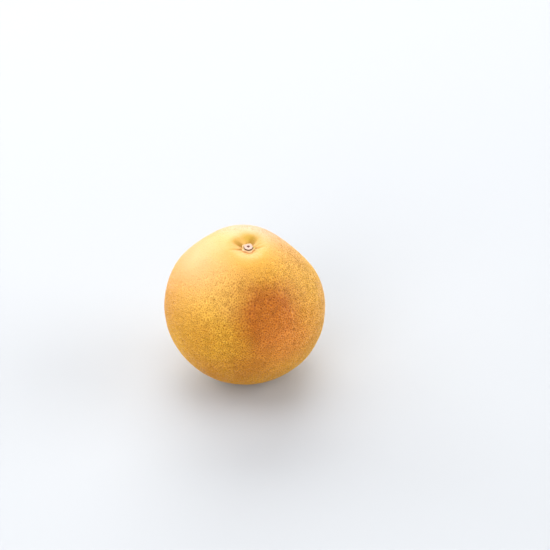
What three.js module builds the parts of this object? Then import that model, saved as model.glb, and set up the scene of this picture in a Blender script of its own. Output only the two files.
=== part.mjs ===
// A whole grapefruit standing on its blossom end, with the dried button of the stem in its dimple.
// Millimetres, +Z up. The origin is on the resting plane, under the middle of the fruit's bounding box.
// Seen from the front, which looks along +Y, the stem end leans a little forward and to the right.

import * as THREE from "three";

const DEGREE = THREE.MathUtils.DEG2RAD;

// Driving dimensions of the fruit
const EQUATOR_RADIUS = 52.3;
const STEM_END_RADIUS = 51.8;
const BLOSSOM_END_RADIUS = 51.4;
const REST_HEIGHT = 50.4; // the fruit's centre above the surface that it rests on
const LEAN_FORWARD = 8.3 * DEGREE;
const LEAN_RIGHT = 3.4 * DEGREE;

// Broad swells and flats of the peel: azimuth and polar angle about the stem axis, height, half-width
const SWELLS = [
  { azimuth: 42, polar: 55, height: -3.4, width: 24 },
  { azimuth: 134, polar: 56, height: -1.6, width: 17 },
  { azimuth: 172, polar: 85, height: -0.4, width: 30 },
  { azimuth: -25, polar: 110, height: 0.9, width: 27 },
  { azimuth: -96, polar: 60, height: 0.5, width: 30 },
  { azimuth: -140, polar: 103, height: -0.4, width: 22 },
  { azimuth: 74, polar: 112, height: -0.8, width: 26 },
  { azimuth: 113, polar: 26, height: 0.6, width: 16 },
  { azimuth: -153, polar: 35, height: 0.4, width: 18 },
];

// The stem dimple: a flat seat for the button, a hollow round it and a low collar of peel outside that
const SEAT_RADIUS = 3.9;
const SEAT_BLEND = 1.3;
const DIMPLE_DEPTH = 2.55;
const DIMPLE_WIDTH = 8.0;
const SEAT_HEIGHT = STEM_END_RADIUS - DIMPLE_DEPTH;
const COLLAR_HEIGHT = 0.5;
const COLLAR_RADIUS = 12;
const COLLAR_WIDTH = 4.5;

// Creases and broader hollows that run out from the button: azimuth, reach from the stem axis, depth, and
// how much wider each gets for each millimetre outwards
const FURROWS = [
  { azimuth: -163, reach: 14, depth: 0.9, spread: 0.05 },
  { azimuth: 151, reach: 15, depth: 1.5, spread: 0.2 },
  { azimuth: 104, reach: 7.5, depth: 0.6, spread: 0.05 },
  { azimuth: 68, reach: 16, depth: 1.5, spread: 0.28 },
  { azimuth: 25, reach: 12.5, depth: 0.35, spread: 0.05 },
  { azimuth: 7, reach: 13, depth: 0.8, spread: 0.06 },
  { azimuth: -32, reach: 9, depth: 0.3, spread: 0.1 },
  { azimuth: -92, reach: 8, depth: 0.3, spread: 0.12 },
  { azimuth: -128, reach: 9, depth: 0.3, spread: 0.1 },
];
const FURROW_START = 3.4;
const FURROW_HALF_WIDTH = 0.5;

// The small sunken scar where the flower was
const SCAR_RADIUS = 2.6;
const SCAR_DEPTH = 1.4;

// How finely the peel is faceted
const MERIDIANS = 80;
const FINE_STEP = 0.85;
const COARSE_STEP = 3.3;
const STEM_FINE_REACH = 26; // arc from the stem over which the rings widen
const SCAR_FINE_REACH = 9;

// The button: a five-lobed calyx with the cut stub of the stem in one piece with it
const BUTTON_CLEARANCE = 0.3;
const CALYX_RADIUS = 4.0;
const CALYX_FOOT_RADIUS = 3.2;
const CALYX_EDGE_HEIGHT = 0.5;
const CALYX_EDGE_ROUNDING = 0.25;
const CALYX_THICKNESS = 0.95;
const CALYX_LOBES = 5;
const LOBE_DEPTH = 0.13;
const STUB_RADIUS = 2.75;
const STUB_HEIGHT = 1.75;
const STUB_FILLET = 0.3;
const STUB_ROUNDING = 0.2;
const PITH_RADIUS = 0.75;
const PITH_DEPTH = 0.45;
const PITH_ROUNDING = 0.2;
const BUTTON_MERIDIANS = 40;

const STEM_AXIS = new THREE.Vector3(0, 0, 1);

const peelMaterial = new THREE.MeshStandardMaterial({ color: 0xf0ae42, roughness: 0.48, metalness: 0 });
const buttonMaterial = new THREE.MeshStandardMaterial({ color: 0x9a8560, roughness: 0.8, metalness: 0 });

function bell(distance, width) {
  return Math.exp(-((distance / width) ** 2));
}

function directionOf(azimuth, polar) {
  return new THREE.Vector3(
    Math.sin(polar * DEGREE) * Math.cos(azimuth * DEGREE),
    Math.sin(polar * DEGREE) * Math.sin(azimuth * DEGREE),
    Math.cos(polar * DEGREE),
  );
}

function swellHeight(direction) {
  return SWELLS.reduce((sum, swell) => {
    const apart = direction.angleTo(directionOf(swell.azimuth, swell.polar)) / DEGREE;
    return sum + swell.height * bell(apart, swell.width);
  }, 0);
}

// How deep the creases are at an arc from the stem and an azimuth.
function furrowDepth(arc, azimuth) {
  return FURROWS.reduce((sum, furrow) => {
    const halfWidth = FURROW_HALF_WIDTH + furrow.spread * arc;
    const turn = azimuth - furrow.azimuth * DEGREE;
    const across = arc * Math.atan2(Math.sin(turn), Math.cos(turn));
    const started = THREE.MathUtils.smoothstep(arc, FURROW_START, FURROW_START + SEAT_BLEND);
    const faded = 1 - THREE.MathUtils.smoothstep(arc, FURROW_START + SEAT_BLEND, furrow.reach);
    return sum + furrow.depth * started * faded * bell(across, halfWidth);
  }, 0);
}

// The distance from the fruit's centre to the open peel, outside the seat of the button.
function openPeelRadius(direction) {
  const polar = Math.acos(THREE.MathUtils.clamp(direction.z, -1, 1));
  const azimuth = Math.atan2(direction.y, direction.x);
  const arc = polar * EQUATOR_RADIUS;
  const arcFromScar = (Math.PI - polar) * EQUATOR_RADIUS;
  const endRadius = direction.z > 0 ? STEM_END_RADIUS : BLOSSOM_END_RADIUS;
  const body = 1 / Math.hypot(Math.sin(polar) / EQUATOR_RADIUS, Math.cos(polar) / endRadius);
  return (
    body +
    swellHeight(direction) -
    DIMPLE_DEPTH * bell(arc, DIMPLE_WIDTH) +
    COLLAR_HEIGHT * bell(arc - COLLAR_RADIUS, COLLAR_WIDTH) -
    furrowDepth(arc, azimuth) -
    SCAR_DEPTH * bell(arcFromScar, SCAR_RADIUS)
  );
}

// The peel's distance from the fruit's centre, flat where the button sits on it.
function peelRadius(direction) {
  const open = openPeelRadius(direction);
  const arc = direction.angleTo(STEM_AXIS) * EQUATOR_RADIUS;
  if (arc > SEAT_RADIUS + SEAT_BLEND) return open;
  const outOfSeat = THREE.MathUtils.smoothstep(arc, SEAT_RADIUS, SEAT_RADIUS + SEAT_BLEND);
  return THREE.MathUtils.lerp(SEAT_HEIGHT / direction.z, open, outOfSeat);
}

// Polar angles of the rings from the stem to the blossom end, closer together at both ends.
function ringAngles() {
  const whole = Math.PI * EQUATOR_RADIUS;
  const arcs = [0];
  for (let arc = FINE_STEP; arc < whole - FINE_STEP / 2; ) {
    arcs.push(arc);
    const open = Math.min(arc / STEM_FINE_REACH, (whole - arc) / SCAR_FINE_REACH, 1);
    arc += THREE.MathUtils.lerp(FINE_STEP, COARSE_STEP, open ** 2);
  }
  arcs.push(whole);
  return arcs.map((arc) => arc / EQUATOR_RADIUS);
}

function stemAxisTurn() {
  return new THREE.Euler(LEAN_FORWARD, LEAN_RIGHT, 0, "XYZ");
}

// The whole fruit: a ball of rings moved out to the peel, leaned over and pressed flat where it rests.
function makeFruit() {
  const angles = ringAngles().reverse();
  const profile = angles.map((polar) => new THREE.Vector2(Math.sin(polar), Math.cos(polar)));
  profile[0].x = 0;
  profile.at(-1).x = 0;
  const geometry = new THREE.LatheGeometry(profile, MERIDIANS).rotateX(Math.PI / 2);
  const position = geometry.getAttribute("position");
  const point = new THREE.Vector3();
  for (let i = 0; i < position.count; i++) {
    point.fromBufferAttribute(position, i).normalize();
    point.multiplyScalar(peelRadius(point)).applyEuler(stemAxisTurn());
    position.setXYZ(i, point.x, point.y, Math.max(point.z + REST_HEIGHT, 0));
  }
  geometry.deleteAttribute("uv");
  geometry.computeVertexNormals();
  const mesh = new THREE.Mesh(geometry, peelMaterial);
  mesh.name = "fruit";
  return mesh;
}

// The button's outline from its underside to the sunken pith, as distance from its axis and height.
function buttonProfile() {
  const pithFloor = STUB_HEIGHT - PITH_DEPTH;
  return [
    [0, 0],
    [CALYX_FOOT_RADIUS, 0],
    [CALYX_RADIUS, CALYX_EDGE_HEIGHT - CALYX_EDGE_ROUNDING],
    [CALYX_RADIUS, CALYX_EDGE_HEIGHT],
    [CALYX_RADIUS - CALYX_EDGE_ROUNDING, CALYX_EDGE_HEIGHT + CALYX_EDGE_ROUNDING],
    [STUB_RADIUS + STUB_FILLET, CALYX_THICKNESS],
    [STUB_RADIUS, CALYX_THICKNESS + STUB_FILLET],
    [STUB_RADIUS, STUB_HEIGHT - STUB_ROUNDING],
    [STUB_RADIUS - STUB_ROUNDING, STUB_HEIGHT],
    [PITH_RADIUS + PITH_ROUNDING, STUB_HEIGHT - PITH_ROUNDING],
    [PITH_RADIUS, pithFloor],
    [0, pithFloor],
  ].map(([radius, height]) => new THREE.Vector2(radius, height));
}

function makeButton() {
  const geometry = new THREE.LatheGeometry(buttonProfile(), BUTTON_MERIDIANS).rotateX(Math.PI / 2);
  const position = geometry.getAttribute("position");
  for (let i = 0; i < position.count; i++) {
    const [x, y, z] = [position.getX(i), position.getY(i), position.getZ(i)];
    const outer = THREE.MathUtils.smoothstep(Math.hypot(x, y), STUB_RADIUS, CALYX_RADIUS);
    const lobe = 1 + LOBE_DEPTH * outer * Math.cos(CALYX_LOBES * Math.atan2(y, x));
    position.setXYZ(i, x * lobe, y * lobe, z);
  }
  geometry.deleteAttribute("uv");
  geometry.computeVertexNormals();
  const mesh = new THREE.Mesh(geometry, buttonMaterial);
  mesh.name = "stem_button";
  mesh.position.z = SEAT_HEIGHT + BUTTON_CLEARANCE;
  return mesh;
}

// The button in the fruit's own frame, whose +Z is the stem axis.
function makeStemEnd() {
  const stemEnd = new THREE.Group();
  stemEnd.position.z = REST_HEIGHT;
  stemEnd.rotation.copy(stemAxisTurn());
  stemEnd.add(makeButton());
  return stemEnd;
}

function makeGrapefruit() {
  const fruit = makeFruit();
  const grapefruit = new THREE.Group();
  grapefruit.add(fruit, makeStemEnd());
  const middle = new THREE.Box3().setFromObject(fruit, true).getCenter(new THREE.Vector3());
  grapefruit.position.set(-middle.x, -middle.y, 0);
  return grapefruit;
}

export default makeGrapefruit();
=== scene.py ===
# A whole grapefruit on a pale studio surface: its pitted peel, its stem button, the light and the camera.
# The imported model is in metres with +Z up. Sizes here are in millimetres and become metres in the meshes.

import math

import bmesh
import bpy
import numpy as np
from mathutils import Euler, Matrix, Vector, noise


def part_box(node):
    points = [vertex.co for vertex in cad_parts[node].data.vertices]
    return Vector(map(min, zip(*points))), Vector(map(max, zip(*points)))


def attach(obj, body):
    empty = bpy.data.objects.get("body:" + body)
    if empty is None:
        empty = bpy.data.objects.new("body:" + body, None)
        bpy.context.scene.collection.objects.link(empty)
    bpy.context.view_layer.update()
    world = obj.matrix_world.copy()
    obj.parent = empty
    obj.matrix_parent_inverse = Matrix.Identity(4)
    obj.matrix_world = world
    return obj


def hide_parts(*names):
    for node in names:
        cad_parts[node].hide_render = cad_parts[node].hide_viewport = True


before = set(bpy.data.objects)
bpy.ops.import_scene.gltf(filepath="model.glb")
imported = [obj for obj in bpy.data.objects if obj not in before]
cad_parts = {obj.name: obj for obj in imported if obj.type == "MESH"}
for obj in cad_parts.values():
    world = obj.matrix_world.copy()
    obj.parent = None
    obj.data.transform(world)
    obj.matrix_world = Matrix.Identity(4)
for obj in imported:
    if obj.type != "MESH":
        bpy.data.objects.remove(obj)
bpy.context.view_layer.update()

MM = 0.001
DEGREE = math.radians(1)

# Driving dimensions of the fruit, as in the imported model
EQUATOR_RADIUS = 52.3
STEM_END_RADIUS = 51.8
BLOSSOM_END_RADIUS = 51.4
REST_HEIGHT = 50.4
LEAN_FORWARD = 8.3 * DEGREE
LEAN_RIGHT = 3.4 * DEGREE

# Broad swells and flats of the peel: azimuth and polar angle about the stem axis, height, half-width
SWELLS = [
    dict(azimuth=42, polar=55, height=-3.4, width=24),
    dict(azimuth=134, polar=56, height=-1.6, width=17),
    dict(azimuth=172, polar=85, height=-0.4, width=30),
    dict(azimuth=-25, polar=110, height=0.9, width=27),
    dict(azimuth=-96, polar=60, height=0.5, width=30),
    dict(azimuth=-140, polar=103, height=-0.4, width=22),
    dict(azimuth=74, polar=112, height=-0.8, width=26),
    dict(azimuth=113, polar=26, height=0.6, width=16),
    dict(azimuth=-153, polar=35, height=0.4, width=18),
]

# The stem dimple, with the flat seat of the button in it and a low collar of peel round it
SEAT_RADIUS = 3.9
SEAT_BLEND = 1.3
DIMPLE_DEPTH = 2.55
DIMPLE_WIDTH = 8.0
SEAT_HEIGHT = STEM_END_RADIUS - DIMPLE_DEPTH
COLLAR_HEIGHT = 0.5
COLLAR_RADIUS = 12
COLLAR_WIDTH = 4.5

# Creases and broader hollows that run out from the button: azimuth, reach from the stem axis, depth, and
# how much wider each gets for each millimetre outwards
FURROWS = [
    dict(azimuth=-163, reach=14, depth=0.9, spread=0.05),
    dict(azimuth=151, reach=15, depth=1.5, spread=0.2),
    dict(azimuth=104, reach=7.5, depth=0.6, spread=0.05),
    dict(azimuth=68, reach=16, depth=1.5, spread=0.28),
    dict(azimuth=25, reach=12.5, depth=0.35, spread=0.05),
    dict(azimuth=7, reach=13, depth=0.8, spread=0.06),
    dict(azimuth=-32, reach=9, depth=0.3, spread=0.1),
    dict(azimuth=-92, reach=8, depth=0.3, spread=0.12),
    dict(azimuth=-128, reach=9, depth=0.3, spread=0.1),
]
FURROW_START = 3.4
FURROW_HALF_WIDTH = 0.5

# The small sunken scar where the flower was
SCAR_RADIUS = 2.6
SCAR_DEPTH = 1.4

# The pits of the peel, scattered evenly but without rows, and closer together towards the stem
PIT_TRIES = 17800
PIT_RELAXINGS = 5
PIT_SEED = 11
STEM_CROWDING = 2.2
STEM_CROWDING_REACH = 13
CROWDING_STEPS = 4000

# The tone of the peel is below 0 in a pit, which is sunk and darker, partly in its own colour and partly in
# painted shade, and above 0 between the pits, where the peel is raised and lighter with painted glints
PIT_DEPTH = 0.30
PIT_TONE = (-0.68, 0.20)  # mean and spread
SPECKLE_HEIGHT = 0.10
SPECKLE_TONE = (0.42, 0.34)  # mean and spread
TONE_LIMIT = 1.4

# The pits are faint near the stem, grow between two arcs from it, and are faint on one shoulder too
FAINT_PITS = 0.12
PIT_GROWTH_ARCS = (4.5, 30.6)
SMOOTH_SHOULDER = dict(azimuth=172, polar=38, width=36, strength=0.85)

# Gentle unevenness of the peel, and fine wrinkles round the button
UNEVEN_HEIGHT = 0.16
UNEVEN_SIZE = 13
UNEVEN_SINK = 0.5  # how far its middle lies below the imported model's skin, as a share of its height
WRINKLE_HEIGHT = 0.1
WRINKLE_COUNTS = (17, 23, 31)
WRINKLE_REACH = 9

# The button: a calyx with five lobes and the cut stub of the stem
BUTTON_CLEARANCE = 0.3
CALYX_RADIUS = 4.0
CALYX_FOOT_RADIUS = 3.8
CALYX_EDGE_HEIGHT = 0.5
CALYX_DROOP = 0.28
CALYX_THICKNESS = 0.95
CALYX_LOBES = 5
LOBE_DEPTH = 0.13
LOBE_LIFT = 0.15
OLIVE_AZIMUTH = 15 * DEGREE
OLIVE_HALF_WIDTH = 0.6  # radians
OLIVE_PATCHINESS = 0.5
STUB_RADIUS = 2.75
STUB_HEIGHT = 1.75
STUB_WAIST = 0.2
STUB_ROUNDING = 0.2
PITH_RADIUS = 0.8
PITH_DEPTH = 0.45
PITH_SHIFT = 0.45  # how far the pith lies behind the middle of the cut
BUTTON_SEGMENTS = 160

# The button's lumps and fibres are smooth noise of one size, read round a small ring and a large one
BUTTON_NOISE_SIZE = 1.0
BUTTON_SEED = 5
LUMP_RING = 2.2
LUMP_SHARE = 0.035  # of the radius
LUMP_LIFT = 0.1
FIBRE_RING = 14
FIBRE_SHARE = 0.02  # of the radius

# The camera, from the photograph's frame and the fruit's place in it
PICTURE_SIDE = 550
SENSOR_WIDTH = 36.0
FOCAL_PIXELS = 2041
CAMERA_ELEVATION = 35.2 * DEGREE
FRUIT_PIXEL = (244.8, 304.85)
PIXELS_PER_MM = 1.541

# Large soft lights: azimuth from straight behind towards the right and elevation in degrees, side in metres
LIGHTS = [
    dict(name="back", azimuth=-5, elevation=30, side=4.5, watts=215),
    dict(name="back_left", azimuth=-48, elevation=20, side=2.6, watts=95),
    dict(name="left", azimuth=-85, elevation=25, side=3.2, watts=32),
    dict(name="high_left", azimuth=-100, elevation=50, side=3.2, watts=50),
    dict(name="top", azimuth=0, elevation=88, side=3.2, watts=70),
    dict(name="right", azimuth=88, elevation=20, side=4.0, watts=185),
    dict(name="front", azimuth=-152, elevation=28, side=3.2, watts=134),
]
LIGHT_DISTANCE = 5.0  # metres
WORLD_COLOUR = (0.93, 0.96, 1.0)
WORLD_STRENGTH = 0.38
FLOOR_HALF_SIDE = 4000

# Albedo of each tissue and of the floor, as linear colour. The pits' shade (their own darker colour and
# painted shade) and the speckles' painted glints multiply that of the peel, and the gloss tints its
# reflections
YELLOW_PEEL = (0.87, 0.468, 0.027)
ORANGE_PEEL = (0.43, 0.107, 0.001)
# Pale peel that is mostly painted sheen
PALE_AND_SHEEN_PEEL = (0.92, 0.52, 0.30)
PEEL_GLOSS = (1.0, 0.86, 0.60)
# Tan of the hollow behind the button, darkened with painted shade
HOLLOW_TAN_AND_SHADE = (0.56, 0.33, 0.03)
BLUSH_PEEL = (0.74, 0.24, 0.030)
PIT_SHADE = (0.54, 0.39, 0.08)
SPECKLE_GLINT = (1.38, 1.68, 3.2)
# Painted shade in the creases
CREASE_SHADE_COLOUR = (0.40, 0.20, 0.02)
SCAR_BROWN = (0.20, 0.10, 0.04)
CUT_WOOD = (0.72, 0.50, 0.40)
CUT_WOOD_WORN = (0.62, 0.38, 0.32)
CALYX_TAN = (0.88, 0.57, 0.30)
PITH_BROWN = (0.16, 0.07, 0.05)
BARK_AND_SHADE_BROWN = (0.03, 0.011, 0.004)
LOBE_OLIVE = (0.55, 0.42, 0.05)
FLOOR_WHITE = (0.50, 0.515, 0.535)

# Soft round zones of the peel's colour: azimuth and polar angle about the stem axis, half-width, strength.
# Ripe peel is orange, and some orange zones are painted shade or a painted reflection; its blush is pink;
# the pale zones are paler peel with painted sheen; and the hollow is the tan one behind the button, with
# painted shade
RIPE_EVERYWHERE = 0.13
RIPE_AND_SHADED_ZONES = [
    # Painted shade: the darker orange band that faces the viewer between the lights
    dict(azimuth=-69, polar=55, width=23, strength=0.95),
    # Painted shade: this zone and the next make the peel darker and more orange towards the bottom
    dict(azimuth=-86, polar=105, width=36, strength=0.32),
    dict(azimuth=-107, polar=122, width=24, strength=0.26),
    dict(azimuth=-118, polar=80, width=26, strength=0.14),
    dict(azimuth=-82, polar=34, width=14, strength=0.16),
    dict(azimuth=-18, polar=40, width=18, strength=0.16),
    dict(azimuth=90, polar=100, width=55, strength=0.22),
    dict(azimuth=-66, polar=80, width=30, strength=0.20),
    dict(azimuth=-20, polar=80, width=24, strength=0.15),
    # Painted reflection: orange along the left edge
    dict(azimuth=-172, polar=88, width=34, strength=0.28),
    dict(azimuth=174, polar=48, width=26, strength=0.09),
]
BLUSH_ZONES = [
    dict(azimuth=-58, polar=79, width=24, strength=0.7),
    dict(azimuth=-23, polar=76, width=20, strength=0.2),
]
# The pale shoulders, stem end and zones are partly paler peel and mostly painted sheen, one of them along
# the right edge
PALE_AND_SHEEN_SHOULDERS = [
    dict(azimuth=165, polar=36, width=34, strength=0.42),
    dict(azimuth=78, polar=36, width=34, strength=0.95),
]
PALE_AND_SHEEN_STEM_END = 0.5
PALE_AND_SHEEN_STEM_REACH = 13
PALE_AND_SHEEN_ZONES = [
    dict(azimuth=-12, polar=45, width=24, strength=0.08),
    dict(azimuth=-142, polar=36, width=25, strength=0.22),
    dict(azimuth=2, polar=82, width=18, strength=0.18),
    dict(azimuth=105, polar=30, width=16, strength=0.16),
]
# Where the hollow behind the button is painted tan and shaded
HOLLOW_ZONES = [
    dict(azimuth=92, polar=11, width=7, strength=0.95),
    dict(azimuth=58, polar=11, width=4, strength=0.35),
    dict(azimuth=150, polar=11, width=4, strength=0.45),
]
HOLLOW_LIMIT = 0.9

# How dark the painted shade in the creases gets between a shallow depth and a deep one, everywhere and then
# near the button
CREASE_DEPTHS = (0.15, 0.9)
CREASE_SHADE = 0.3
CREASE_STEM_SHADE = 0.6
CREASE_STEM_ARC = 4
CREASE_STEM_WIDTH = 5

# Soft patches of colour from noise: their size, and the noise between which they run from none to full
RIPE_PATCHES = dict(size=24, detail=1, edges=(0.3, 0.7))
RIPE_PATCH_SHARE = 0.16
DRY_PATCHES = dict(size=1.1, detail=4, edges=(0.35, 0.65))
DRY_PATCH_SHARE = 0.15
WORN_PATCHES = dict(size=0.9, detail=4, edges=(0.45, 0.75))

# The surface of each tissue, and its finest grain, which is left to bump
PEEL_SURFACE = {
    "Roughness": 0.40,
    "IOR": 1.32,
    "Coat Weight": 0.25,
    "Coat IOR": 1.34,
    "Coat Roughness": 0.3,
}
PEEL_GRAIN = dict(size=1.3, detail=2, roughness=0.6)
PEEL_GRAIN_HEIGHT = 0.25
PIT_EDGE_HEIGHT = 0.30
BUTTON_SURFACE = {"Roughness": 0.7, "IOR": 1.3}
BUTTON_GRAIN = dict(size=0.35, detail=4, roughness=0.65)
BUTTON_GRAIN_HEIGHT = 0.12
FLOOR_SURFACE = {"Roughness": 0.6}

# The sockets of a Mix node that carry colours, by number because its other types share their names
MIX_FACTOR = 0
MIX_COLOURS = (6, 7)
MIX_RESULT = 2


def bell(distance, width):
    return np.exp(-((distance / width) ** 2))


def smoothstep(value, low, high):
    share = np.clip((value - low) / (high - low), 0, 1)
    return share * share * (3 - 2 * share)


def direction_of(azimuth, polar):
    """The unit vector at an azimuth and a polar angle about the stem axis, in degrees."""
    ring = math.sin(polar * DEGREE)
    return np.array(
        [ring * math.cos(azimuth * DEGREE), ring * math.sin(azimuth * DEGREE), math.cos(polar * DEGREE)]
    )


def polar_and_azimuth(directions):
    polar = np.arccos(np.clip(directions[:, 2], -1, 1))
    return polar, np.arctan2(directions[:, 1], directions[:, 0])


def degrees_from(directions, azimuth, polar):
    """How many degrees each direction is away from the one given."""
    return np.arccos(np.clip(directions @ direction_of(azimuth, polar), -1, 1)) / DEGREE


def swell_height(directions):
    return sum(
        swell["height"] * bell(degrees_from(directions, swell["azimuth"], swell["polar"]), swell["width"])
        for swell in SWELLS
    )


def furrow_depth(arc, azimuth):
    """How deep the creases are at an arc from the stem and an azimuth."""
    total = np.zeros_like(arc)
    for furrow in FURROWS:
        half_width = FURROW_HALF_WIDTH + furrow["spread"] * arc
        turn = azimuth - furrow["azimuth"] * DEGREE
        across = arc * np.arctan2(np.sin(turn), np.cos(turn))
        started = smoothstep(arc, FURROW_START, FURROW_START + SEAT_BLEND)
        faded = 1 - smoothstep(arc, FURROW_START + SEAT_BLEND, furrow["reach"])
        total += furrow["depth"] * started * faded * bell(across, half_width)
    return total


def peel_radius(directions):
    """The peel's distance from the fruit's centre in each direction about the stem axis."""
    polar, azimuth = polar_and_azimuth(directions)
    arc = polar * EQUATOR_RADIUS
    arc_from_scar = (math.pi - polar) * EQUATOR_RADIUS
    end_radius = np.where(directions[:, 2] > 0, STEM_END_RADIUS, BLOSSOM_END_RADIUS)
    body = 1 / np.hypot(np.sin(polar) / EQUATOR_RADIUS, np.cos(polar) / end_radius)
    open_peel = (
        body
        + swell_height(directions)
        - DIMPLE_DEPTH * bell(arc, DIMPLE_WIDTH)
        + COLLAR_HEIGHT * bell(arc - COLLAR_RADIUS, COLLAR_WIDTH)
        - furrow_depth(arc, azimuth)
        - SCAR_DEPTH * bell(arc_from_scar, SCAR_RADIUS)
    )
    seat = SEAT_HEIGHT / np.cos(np.minimum(polar, (SEAT_RADIUS + SEAT_BLEND) / EQUATOR_RADIUS))
    out_of_seat = smoothstep(arc, SEAT_RADIUS, SEAT_RADIUS + SEAT_BLEND)
    return seat + (open_peel - seat) * out_of_seat


def stem_axis_turn():
    """The lean of the stem axis: towards the viewer, then to the viewer's right."""
    return Matrix.Rotation(LEAN_FORWARD, 3, "X") @ Matrix.Rotation(LEAN_RIGHT, 3, "Y")


def leaned(points):
    """Points or directions about the stem axis, turned as the fruit leans."""
    return points @ np.array(stem_axis_turn()).T


def stand_up(points):
    """Points about the stem axis, in millimetres, leaned over and lifted on to the surface."""
    return leaned(points) + (0, 0, REST_HEIGHT)


def noise_at(points, size, seed):
    """Smooth noise from about -1 to 1, with features of a size, at points in millimetres."""
    offset = Vector((seed, 2 * seed, 3 * seed))
    return np.array([noise.noise(Vector(point) / size + offset) for point in points])


def hull_triangles(directions):
    """The triangles between neighbouring directions, their corners anticlockwise from outside."""
    ball = bmesh.new()
    for direction in directions:
        ball.verts.new(direction)
    bmesh.ops.convex_hull(ball, input=ball.verts[:])
    ball.verts.index_update()
    triangles = np.array([[corner.index for corner in face.verts] for face in ball.faces])
    ball.free()
    first, second, third = (directions[triangles[:, corner]] for corner in range(3))
    inward = np.einsum("ij,ij->i", np.cross(second - first, third - first), first) < 0
    triangles[inward] = triangles[inward][:, ::-1]
    return triangles


def used_only(directions, triangles):
    """The directions that are a corner of some triangle, and the triangles numbered to match."""
    used, numbered = np.unique(triangles, return_inverse=True)
    return directions[used], numbered.reshape(-1, 3)


def scattered_directions(generator):
    """Directions spread evenly but without rows, and the triangles between them."""
    directions = normalized(generator.normal(size=(PIT_TRIES, 3)))
    for _ in range(PIT_RELAXINGS):
        directions, triangles = used_only(directions, hull_triangles(directions))
        neighbours = np.zeros_like(directions)
        for corner in range(3):
            np.add.at(neighbours, triangles[:, corner], directions[triangles[:, (corner + 1) % 3]])
        directions = normalized(neighbours)
    return used_only(directions, hull_triangles(directions))


def normalized(vectors):
    return vectors / np.linalg.norm(vectors, axis=1, keepdims=True)


def fine_chance(generator, count, faces):
    """A random number at each point, less the mean of its neighbours, so that it doesn't drift."""
    chance = generator.normal(size=count)
    total = np.zeros(count)
    neighbours = np.zeros(count)
    for corner in range(3):
        np.add.at(total, faces[:, corner], chance[faces[:, (corner + 1) % 3]])
        np.add.at(neighbours, faces[:, corner], 1)
    return chance - total / neighbours


def crowded_towards_stem(directions):
    """The directions with their polar angles changed so that there are more of them near the stem."""
    steps = np.linspace(0, math.pi, CROWDING_STEPS)
    crowding = 1 + STEM_CROWDING * bell(steps * EQUATOR_RADIUS, STEM_CROWDING_REACH)
    crowded_share = np.cumsum(crowding * np.sin(steps))
    even_share = np.cumsum(np.sin(steps))
    polar, azimuth = polar_and_azimuth(directions)
    share = np.interp(polar, steps, even_share / even_share[-1])
    moved = np.interp(share, crowded_share / crowded_share[-1], steps)
    ring = np.sin(moved)
    return np.column_stack([ring * np.cos(azimuth), ring * np.sin(azimuth), np.cos(moved)])


def split_in_six(directions, triangles):
    """Each triangle split in six, at the middles of its edges and at its own middle."""
    edges = np.concatenate([triangles[:, [corner, (corner + 1) % 3]] for corner in range(3)])
    pairs, which = np.unique(np.sort(edges, axis=1), axis=0, return_inverse=True)
    which = which.reshape(3, -1)
    edge_middles = normalized(directions[pairs].sum(axis=1))
    triangle_middles = normalized(directions[triangles].sum(axis=1))
    edge_start = len(directions)
    middle = edge_start + len(pairs) + np.arange(len(triangles))
    faces = []
    for corner in range(3):
        here, there = triangles[:, corner], triangles[:, (corner + 1) % 3]
        half_way = edge_start + which[corner]
        faces.append(np.column_stack([here, half_way, middle]))
        faces.append(np.column_stack([half_way, there, middle]))
    return np.concatenate([directions, edge_middles, triangle_middles]), np.concatenate(faces)


def mesh_object(name, points, faces, material, fields):
    """A smooth mesh of points in millimetres, with a number stored at each point for each named field."""
    mesh = bpy.data.meshes.new(name)
    mesh.from_pydata((points * MM).tolist(), [], faces.tolist())
    for label, values in fields.items():
        mesh.attributes.new(label, "FLOAT", "POINT").data.foreach_set("value", values.astype(np.float32))
    mesh.polygons.foreach_set("use_smooth", [True] * len(mesh.polygons))
    mesh.materials.append(material)
    mesh.update()
    piece = bpy.data.objects.new(name, mesh)
    bpy.context.scene.collection.objects.link(piece)
    return piece


def add_node(tree, kind, inputs=None, **settings):
    """A new node with its settings. An input is given a value or the socket that feeds it."""
    node = tree.nodes.new(kind)
    for name, value in settings.items():
        setattr(node, name, value)
    for name, value in (inputs or {}).items():
        if isinstance(value, bpy.types.NodeSocket):
            tree.links.new(value, node.inputs[name])
        else:
            node.inputs[name].default_value = value
    return node


def colour(rgb):
    return (*rgb, 1.0)


def mixed(tree, factor, first, second, blend="MIX"):
    """The colour between two colours, each a value or a socket."""
    inputs = {MIX_FACTOR: factor}
    for place, value in zip(MIX_COLOURS, (first, second)):
        inputs[place] = value if isinstance(value, bpy.types.NodeSocket) else colour(value)
    return add_node(tree, "ShaderNodeMix", inputs, data_type="RGBA", blend_type=blend).outputs[MIX_RESULT]


def field(tree, name):
    """The number that the mesh holds at each point under a name."""
    return add_node(tree, "ShaderNodeAttribute", attribute_name=name).outputs["Fac"]


def math_node(tree, operation, *values, clamp=False):
    inputs = dict(enumerate(values))
    return add_node(tree, "ShaderNodeMath", inputs, operation=operation, use_clamp=clamp).outputs["Value"]


def share_of(tree, value, low, high, kind="LINEAR"):
    """The value's share of the way from low to high, kept between 0 and 1."""
    inputs = {"Value": value, "From Min": low, "From Max": high}
    return add_node(tree, "ShaderNodeMapRange", inputs, interpolation_type=kind).outputs["Result"]


def ramp(tree, value, low, high):
    return share_of(tree, value, low, high, "SMOOTHSTEP")


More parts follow.
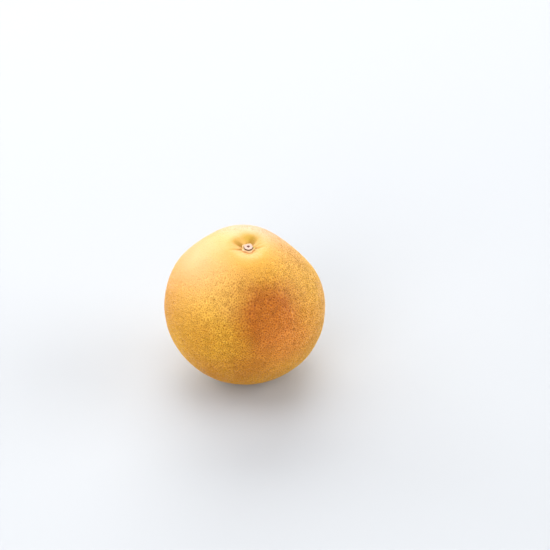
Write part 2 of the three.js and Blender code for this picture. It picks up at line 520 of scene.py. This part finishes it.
def noise_field(tree, size, detail=2.0, roughness=0.5):
    """Noise from 0 to 1, with features of a size in millimetres, fixed to the object."""
    place = add_node(tree, "ShaderNodeTexCoord").outputs["Object"]
    inputs = {"Vector": place, "Scale": 1 / (size * MM), "Detail": detail, "Roughness": roughness}
    return add_node(tree, "ShaderNodeTexNoise", inputs).outputs["Fac"]


def patches(tree, size, detail, edges):
    """Soft patches of noise, from 0 between them to 1 in their middles."""
    return ramp(tree, noise_field(tree, size, detail), *edges)


def new_material(name, numbers):
    """A new material with nothing but its output and a surface shader, which is given some numbers."""
    material = bpy.data.materials.new(name)
    material.use_nodes = True
    tree = material.node_tree
    tree.nodes.clear()
    surface = add_node(tree, "ShaderNodeBsdfPrincipled", numbers)
    output = add_node(tree, "ShaderNodeOutputMaterial")
    tree.links.new(surface.outputs["BSDF"], output.inputs["Surface"])
    return material, tree, surface


def bumped(tree, surface, height, distance, normal=None):
    """Feeds the surface a normal bent by a height field, with its full height in millimetres."""
    inputs = {"Height": height, "Distance": distance * MM}
    if normal is not None:
        inputs["Normal"] = normal
    bump = add_node(tree, "ShaderNodeBump", inputs).outputs["Normal"]
    tree.links.new(bump, surface.inputs["Normal"])
    return bump


def peel_material():
    """Yellow and orange rind with darker oil pits, a pink blush, pale shoulders and thin wax. The orange
    holds painted shade and a painted reflection, the pits painted shade, the peel between them painted
    glints, the pale shoulders painted sheen, and the creases and the hollow painted shade.
    """
    material, tree, surface = new_material("grapefruit_peel", PEEL_SURFACE)
    drift = patches(tree, **RIPE_PATCHES)
    by_zone = field(tree, "ripeness_and_shade")
    # The orange share holds the riper colour, and in some zones painted shade and a painted reflection
    ripeness_and_shade = math_node(tree, "MULTIPLY_ADD", drift, RIPE_PATCH_SHARE, by_zone, clamp=True)
    base = mixed(tree, ripeness_and_shade, YELLOW_PEEL, ORANGE_PEEL)
    base = mixed(tree, field(tree, "blush"), base, BLUSH_PEEL)
    tone = field(tree, "tone")
    # Painted glints: the raised peel between the pits is lightened
    base = mixed(tree, share_of(tree, tone, 0, 1), base, SPECKLE_GLINT, "MULTIPLY")
    # Paler peel and painted sheen
    base = mixed(tree, field(tree, "pale"), base, PALE_AND_SHEEN_PEEL)
    # Tan peel with painted shade in the hollow behind the button
    base = mixed(tree, field(tree, "hollow"), base, HOLLOW_TAN_AND_SHADE)
    # The pits' own darker colour and painted shade
    base = mixed(tree, share_of(tree, tone, 0, -1), base, PIT_SHADE, "MULTIPLY")
    # Painted shade in the creases
    base = mixed(tree, field(tree, "crease"), base, CREASE_SHADE_COLOUR)
    base = mixed(tree, field(tree, "scar"), base, SCAR_BROWN)
    tree.links.new(base, surface.inputs["Base Color"])
    surface.inputs["Specular Tint"].default_value = colour(PEEL_GLOSS)
    grain = bumped(tree, surface, noise_field(tree, **PEEL_GRAIN), PEEL_GRAIN_HEIGHT)
    bumped(tree, surface, tone, PIT_EDGE_HEIGHT, grain)
    return material


def zone(directions, azimuth, polar, width, strength):
    """A soft round zone about a direction, with its half-width in degrees."""
    return strength * bell(degrees_from(directions, azimuth, polar), width)


def zone_sum(directions, zones):
    return sum(zone(directions, **spot) for spot in zones)


def pale_and_sheen_share(directions, arc):
    """How pale the peel is painted, as paler peel and painted sheen: as the palest of its shoulders and
    stem end, with some zones on top.
    """
    shoulders = [zone(directions, **shoulder) for shoulder in PALE_AND_SHEEN_SHOULDERS]
    stem_end = PALE_AND_SHEEN_STEM_END * bell(arc, PALE_AND_SHEEN_STEM_REACH)
    return np.maximum.reduce([*shoulders, stem_end]) + zone_sum(directions, PALE_AND_SHEEN_ZONES)


def crease_shade_share(arc, azimuth):
    """How far painted shade darkens the creases: the deep ones more, and most of all near the button."""
    deep = smoothstep(furrow_depth(arc, azimuth), *CREASE_DEPTHS)
    return deep * (CREASE_SHADE + CREASE_STEM_SHADE * bell(arc - CREASE_STEM_ARC, CREASE_STEM_WIDTH))


def peel_fields(directions, arc, azimuth, tone):
    """The numbers that the peel's material reads at each point."""
    arc_from_scar = math.pi * EQUATOR_RADIUS - arc
    return dict(
        tone=tone,
        # The orange share holds the riper colour, and in some zones painted shade and a painted reflection
        ripeness_and_shade=np.clip(RIPE_EVERYWHERE + zone_sum(directions, RIPE_AND_SHADED_ZONES), 0, 1),
        blush=np.clip(zone_sum(directions, BLUSH_ZONES), 0, 1),
        # The pale share is paler peel and painted sheen
        pale=np.clip(pale_and_sheen_share(directions, arc), 0, 1),
        # Tan and painted shade in the hollow behind the button
        hollow=np.clip(zone_sum(directions, HOLLOW_ZONES), 0, HOLLOW_LIMIT),
        # Painted shade in the creases
        crease=crease_shade_share(arc, azimuth),
        scar=bell(arc_from_scar, SCAR_RADIUS),
    )


def pit_share(directions, arc):
    """How far the pits are grown: the peel is all but smooth near the stem and on one shoulder."""
    away_from_stem = FAINT_PITS + (1 - FAINT_PITS) * smoothstep(arc, *PIT_GROWTH_ARCS)
    return away_from_stem * (1 - zone(directions, **SMOOTH_SHOULDER))


def random_tone(generator, pits, pit_triangles, count, faces):
    """The tone of some points, of which the first are the pits, before any of them is made faint."""
    tone = SPECKLE_TONE[0] + SPECKLE_TONE[1] * fine_chance(generator, count, faces)
    tone[:pits] = PIT_TONE[0] + PIT_TONE[1] * fine_chance(generator, pits, pit_triangles)
    return np.clip(tone, -TONE_LIMIT, TONE_LIMIT)


def fine_relief(directions, arc, azimuth):
    """The height of the wrinkles and the gentle unevenness, which leave the button's seat flat."""
    open_share = smoothstep(arc, SEAT_RADIUS, SEAT_RADIUS + 2 * SEAT_BLEND)
    waves = sum(np.sin(count * azimuth + count) for count in WRINKLE_COUNTS) / len(WRINKLE_COUNTS)
    wrinkles = WRINKLE_HEIGHT * bell(arc - SEAT_RADIUS, WRINKLE_REACH) * (1 + waves)
    uneven = noise_at(directions * EQUATOR_RADIUS, UNEVEN_SIZE, PIT_SEED)
    return open_share * (UNEVEN_HEIGHT * (uneven - UNEVEN_SINK) - wrinkles)


def make_peel():
    """The whole peel: a pit at each scattered point, and the open peel between them."""
    generator = np.random.default_rng(PIT_SEED)
    scattered, triangles = scattered_directions(generator)
    directions, faces = split_in_six(crowded_towards_stem(scattered), triangles)
    polar, azimuth = polar_and_azimuth(directions)
    arc = polar * EQUATOR_RADIUS
    tone = random_tone(generator, len(scattered), triangles, len(directions), faces)
    tone *= pit_share(directions, arc)
    radius = peel_radius(directions) + fine_relief(directions, arc, azimuth)
    radius += SPECKLE_HEIGHT * np.maximum(tone, 0)
    points = stand_up(directions * radius[:, None])
    points[:, 2] = np.maximum(points[:, 2], 0)
    # The pits are sunk last, so that the flat which the fruit stands on has them too
    points += leaned(directions) * (PIT_DEPTH * np.minimum(tone, 0))[:, None]
    return points, faces, peel_fields(directions, arc, azimuth, tone)


def rounded(points, rounds=2, cut=0.25):
    """An outline with its corners cut off, by a share of each side, again and again, and its ends kept."""
    points = np.array(points, float)
    for _ in range(rounds):
        near = (1 - cut) * points[:-1] + cut * points[1:]
        far = cut * points[:-1] + (1 - cut) * points[1:]
        inner = np.column_stack([near, far]).reshape(-1, 2)
        points = np.concatenate([points[:1], inner, points[-1:]])
    return points


def button_outline():
    """From the underside over the lobes and the stub to the sunken pith: radius and height."""
    pith_floor = STUB_HEIGHT - PITH_DEPTH
    waist = STUB_RADIUS - STUB_WAIST
    return rounded([
        (0, -CALYX_DROOP),
        (CALYX_FOOT_RADIUS, -CALYX_DROOP),
        (CALYX_RADIUS, 0),
        (CALYX_RADIUS, CALYX_EDGE_HEIGHT),
        (STUB_RADIUS + STUB_WAIST, CALYX_THICKNESS),
        (waist, CALYX_THICKNESS),
        (waist, STUB_HEIGHT - 2 * STUB_ROUNDING),
        (STUB_RADIUS, STUB_HEIGHT - STUB_ROUNDING),
        (STUB_RADIUS - STUB_ROUNDING, STUB_HEIGHT),
        (PITH_RADIUS + STUB_ROUNDING, STUB_HEIGHT - STUB_ROUNDING),
        (PITH_RADIUS, pith_floor),
        (0, pith_floor),
    ])


def make_button():
    """The calyx and stub as one closed skin of rings, roughened and with its lobes lifted at the tips."""
    outline = button_outline()
    rings = outline[1:-1]
    turns = np.arange(BUTTON_SEGMENTS) * 2 * math.pi / BUTTON_SEGMENTS
    radius = np.repeat(rings[:, 0], BUTTON_SEGMENTS)
    height = np.repeat(rings[:, 1], BUTTON_SEGMENTS)
    turn = np.tile(turns, len(rings))
    circle = np.column_stack([np.cos(turn), np.sin(turn)])
    lumps = noise_at(np.column_stack([LUMP_RING * circle, height]), BUTTON_NOISE_SIZE, BUTTON_SEED)
    flat_ring = np.column_stack([FIBRE_RING * circle, np.zeros_like(turn)])
    fibres = noise_at(flat_ring, BUTTON_NOISE_SIZE, BUTTON_SEED + 1)
    fields = button_fields(radius, height, turn, lumps)
    outer = smoothstep(radius, STUB_RADIUS, CALYX_RADIUS)
    on_stub = smoothstep(height, CALYX_EDGE_HEIGHT, CALYX_THICKNESS)
    waves = np.cos(CALYX_LOBES * turn)
    roughness = LUMP_SHARE * lumps + FIBRE_SHARE * fibres * on_stub
    radius = radius * (1 + LOBE_DEPTH * outer * waves + roughness)
    height = height + LOBE_LIFT * outer * (1 + waves) / 2 + LUMP_LIFT * lumps * on_stub
    back = PITH_SHIFT * np.clip(1 - radius / STUB_RADIUS, 0, 1) * on_stub
    points = np.column_stack([radius * np.cos(turn), radius * np.sin(turn) + back, height])
    ends = np.array([[0, 0, outline[0, 1]], [0, PITH_SHIFT, outline[-1, 1]]])
    fields = {name: np.append(values, [0, values[-1]]) for name, values in fields.items()}
    return np.concatenate([points, ends]), button_faces(len(rings)), fields


def button_fields(radius, height, turn, lumps):
    """Which tissue each point of the button is: the cut face, the pith in its middle, or a lobe."""
    top = smoothstep(height, STUB_HEIGHT - 2 * STUB_ROUNDING, STUB_HEIGHT - STUB_ROUNDING)
    sunken = 1 - smoothstep(radius, PITH_RADIUS, PITH_RADIUS + STUB_ROUNDING)
    cut = np.maximum(top, sunken * smoothstep(height, CALYX_THICKNESS, STUB_HEIGHT - PITH_DEPTH))
    pith = sunken * (height > CALYX_THICKNESS)
    # The stub's side and the lobes' inner edge get the near-black bark colour, which is painted shade under
    # the rim of the cut
    lobe = smoothstep(radius, STUB_RADIUS, STUB_RADIUS + 3 * STUB_WAIST)
    aside = np.arctan2(np.sin(turn - OLIVE_AZIMUTH), np.cos(turn - OLIVE_AZIMUTH))
    olive = np.clip(bell(aside, OLIVE_HALF_WIDTH) + OLIVE_PATCHINESS * lumps, 0, 1)
    return dict(cut=cut, pith=pith, lobe=lobe, olive=olive)


def button_faces(ring_count):
    """Squares between the rings, as pairs of triangles, and a fan at each end."""
    here = np.arange(BUTTON_SEGMENTS)
    there = np.roll(here, -1)
    faces = []
    for ring in range(ring_count - 1):
        low, high = ring * BUTTON_SEGMENTS, (ring + 1) * BUTTON_SEGMENTS
        faces.append(np.column_stack([low + here, low + there, high + there]))
        faces.append(np.column_stack([low + here, high + there, high + here]))
    bottom = ring_count * BUTTON_SEGMENTS
    last = (ring_count - 1) * BUTTON_SEGMENTS
    faces.append(np.column_stack([there, here, np.full(BUTTON_SEGMENTS, bottom)]))
    faces.append(np.column_stack([last + here, last + there, np.full(BUTTON_SEGMENTS, bottom + 1)]))
    return np.concatenate(faces)


def button_material():
    """Dry brown bark with near-black painted shade round the stub under its cut rim, a pale calyx with an
    olive lobe, and a pale cut face with a dark pith.
    """
    material, tree, surface = new_material("stem_button_tissue", BUTTON_SURFACE)
    lobes = mixed(tree, field(tree, "olive"), CALYX_TAN, LOBE_OLIVE)
    dryness = math_node(tree, "MULTIPLY", patches(tree, **DRY_PATCHES), DRY_PATCH_SHARE)
    lobes = mixed(tree, dryness, lobes, BARK_AND_SHADE_BROWN)
    # Near-black painted shade round the stub, inside the lobes
    base = mixed(tree, field(tree, "lobe"), BARK_AND_SHADE_BROWN, lobes)
    cut = mixed(tree, patches(tree, **WORN_PATCHES), CUT_WOOD, CUT_WOOD_WORN)
    base = mixed(tree, field(tree, "cut"), base, cut)
    base = mixed(tree, field(tree, "pith"), base, PITH_BROWN)
    tree.links.new(base, surface.inputs["Base Color"])
    bumped(tree, surface, noise_field(tree, **BUTTON_GRAIN), BUTTON_GRAIN_HEIGHT)
    return material


def make_floor():
    """A plain pale surface that fills the view."""
    corners = FLOOR_HALF_SIDE * np.array([[-1, -1, 0], [1, -1, 0], [1, 1, 0], [-1, 1, 0]])
    material, _, surface = new_material("pale_surface", FLOOR_SURFACE)
    surface.inputs["Base Color"].default_value = colour(FLOOR_WHITE)
    floor = mesh_object("floor", corners, np.array([[0, 1, 2, 3]]), material, {})


def soft_light(aim, name, azimuth, elevation, side, watts):
    """A square area light in a direction from the point that it is turned towards."""
    level = math.cos(elevation * DEGREE)
    aside = math.sin(azimuth * DEGREE) * level
    behind = math.cos(azimuth * DEGREE) * level
    data = bpy.data.lights.new(name, "AREA")
    data.shape = "SQUARE"
    data.size = side
    data.energy = watts
    lamp = bpy.data.objects.new(name, data)
    lamp.location = aim + LIGHT_DISTANCE * Vector((aside, behind, math.sin(elevation * DEGREE)))
    lamp.rotation_euler = (aim - lamp.location).to_track_quat("-Z", "Y").to_euler()
    bpy.context.scene.collection.objects.link(lamp)


def make_lights(aim):
    """Large soft lights behind, left, above, right and in front, and pale light all round."""
    for light in LIGHTS:
        soft_light(aim, **light)
    world = bpy.data.worlds.new("studio")
    world.use_nodes = True
    background = world.node_tree.nodes["Background"]
    background.inputs["Color"].default_value = colour(WORLD_COLOUR)
    background.inputs["Strength"].default_value = WORLD_STRENGTH
    bpy.context.scene.world = world
    bpy.context.scene.view_settings.view_transform = "Standard"


def make_camera(target):
    """Looks down at the fruit and puts its middle where the photograph has it."""
    right = Vector((1, 0, 0))
    forward = Vector((0, math.cos(CAMERA_ELEVATION), -math.sin(CAMERA_ELEVATION)))
    up = right.cross(forward)
    depth = FOCAL_PIXELS / PIXELS_PER_MM * MM
    aside = (FRUIT_PIXEL[0] - PICTURE_SIDE / 2) / FOCAL_PIXELS * depth
    above = (PICTURE_SIDE / 2 - FRUIT_PIXEL[1]) / FOCAL_PIXELS * depth
    data = bpy.data.cameras.new("camera")
    data.sensor_width = SENSOR_WIDTH
    data.lens = FOCAL_PIXELS / PICTURE_SIDE * SENSOR_WIDTH
    camera = bpy.data.objects.new("camera", data)
    camera.location = target - forward * depth - right * aside - up * above
    camera.rotation_euler = Euler((math.pi / 2 - CAMERA_ELEVATION, 0, 0))
    bpy.context.scene.collection.objects.link(camera)
    bpy.context.scene.camera = camera


def place_peel():
    """Makes the peel and puts it over the solid that it stands for. Gives the shift from its own axis."""
    points, faces, fields = make_peel()
    lowest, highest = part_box("fruit")
    packed_middle = np.array((lowest + highest) / 2) / MM
    shift = packed_middle - (points.min(axis=0) + points.max(axis=0)) / 2
    shift[2] = 0
    peel = mesh_object("peel", points + shift, faces, peel_material(), fields)
    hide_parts("fruit")
    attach(peel, "root")
    return shift


def place_button(shift):
    """Makes the button and puts it on its seat in the dimple."""
    points, faces, fields = make_button()
    points = stand_up(points + (0, 0, SEAT_HEIGHT + BUTTON_CLEARANCE)) + shift
    button = mesh_object("button", points, faces, button_material(), fields)
    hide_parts("stem_button")
    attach(button, "root")


def main():
    fruit_middle = Vector((0, 0, REST_HEIGHT * MM))
    make_camera(fruit_middle)
    make_lights(fruit_middle)
    make_floor()
    place_button(place_peel())


main()
